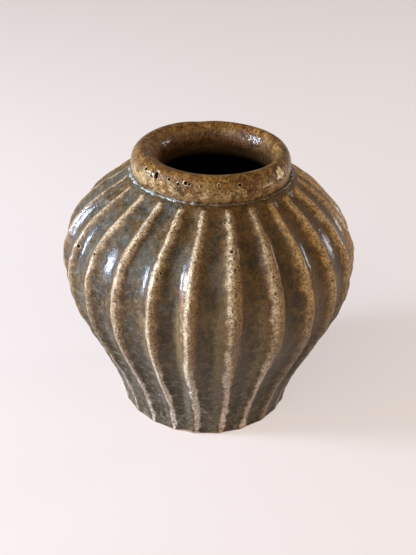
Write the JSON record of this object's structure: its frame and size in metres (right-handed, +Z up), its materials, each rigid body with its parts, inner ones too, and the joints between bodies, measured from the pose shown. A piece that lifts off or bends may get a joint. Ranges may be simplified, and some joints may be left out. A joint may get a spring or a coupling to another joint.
{
  "type": "ribbed stoneware jar",
  "caption": "Small handmade glazed jar with a round ribbed belly, shallow flutes, a thick rolled collar round a narrow mouth and a ring foot.",
  "frame": {"origin": "centre of the foot, on the surface that the jar stands on", "axes": "+Z up along the jar's axis, -Y towards the front, +X to the right seen from the front"},
  "size_m": [0.1313, 0.1313, 0.1262],
  "materials": {
    "bare_clay": "unglazed fired stoneware, fine sandy grain, matt",
    "body_glaze": "glossy ash glaze, dark olive brown to slate where it pools in the flutes and tan where it thins over the ribs",
    "collar_glaze": "glossy warm brown ash glaze with burst bubbles and golden patches"
  },
  "bodies": {
    "root": {"base_disc": "bare_clay", "fluted_body": "body_glaze", "collar": "collar_glaze"}
  },
  "joints": []
}
